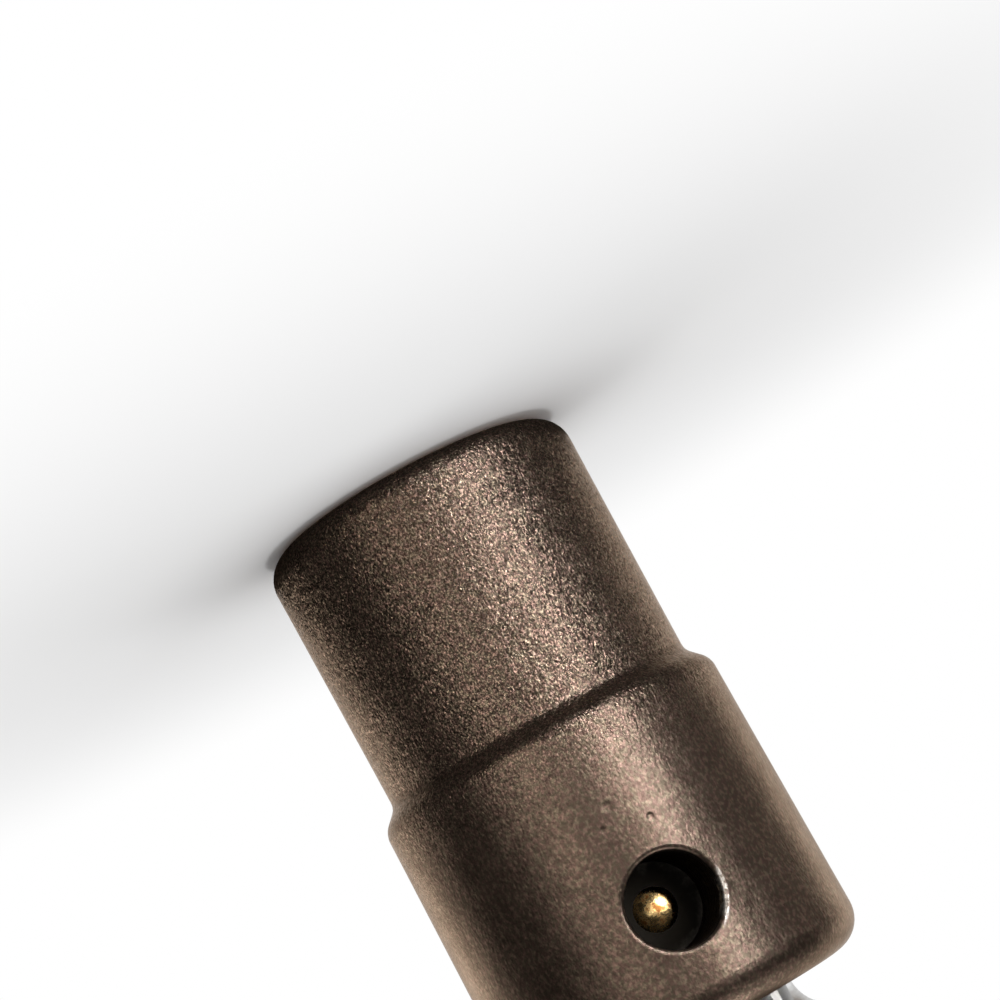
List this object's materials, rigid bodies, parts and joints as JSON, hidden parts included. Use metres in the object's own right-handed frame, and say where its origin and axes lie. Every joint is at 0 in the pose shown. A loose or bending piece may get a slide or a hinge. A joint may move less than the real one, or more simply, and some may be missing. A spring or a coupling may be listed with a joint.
{
  "type": "pinch clamp removal tool",
  "caption": "Forged socket head that grips and twists off the ear of a pipe pinch clamp, on a square drive adapter with a hex shank.",
  "frame": {"origin": "the tool's axis at the mouth face, which the tool stands on", "axes": "+Z along the tool's axis from the mouth to the shank, -Y out through the detent hole, X along the long side of the ear pocket"},
  "size_m": [0.0224, 0.0224, 0.0753],
  "materials": {
    "black_forging": "shot-blasted forging with an oiled brown-black phosphate coating",
    "bright_steel": "satin nickel-plated steel",
    "ball_metal": "polished, golden, lightly marked",
    "spring_steel": "drawn wire"
  },
  "bodies": {
    "head": {"removal_head": "black_forging"},
    "adapter": {"drive_adapter": "bright_steel", "detent_spring": "spring_steel"},
    "ball": {"detent_ball": "ball_metal"}
  },
  "joints": [
    {"name": "adapter_pull", "type": "slide", "parent": "head", "child": "adapter", "axis": [0, 0, 1], "range_m": [0, 0.016]},
    {"name": "ball_press", "type": "slide", "parent": "adapter", "child": "ball", "axis": [0, -1, 0], "range_m": [0, 0.00055], "stiffness_N_per_m": 400, "springref_m": 0.0015}
  ]
}
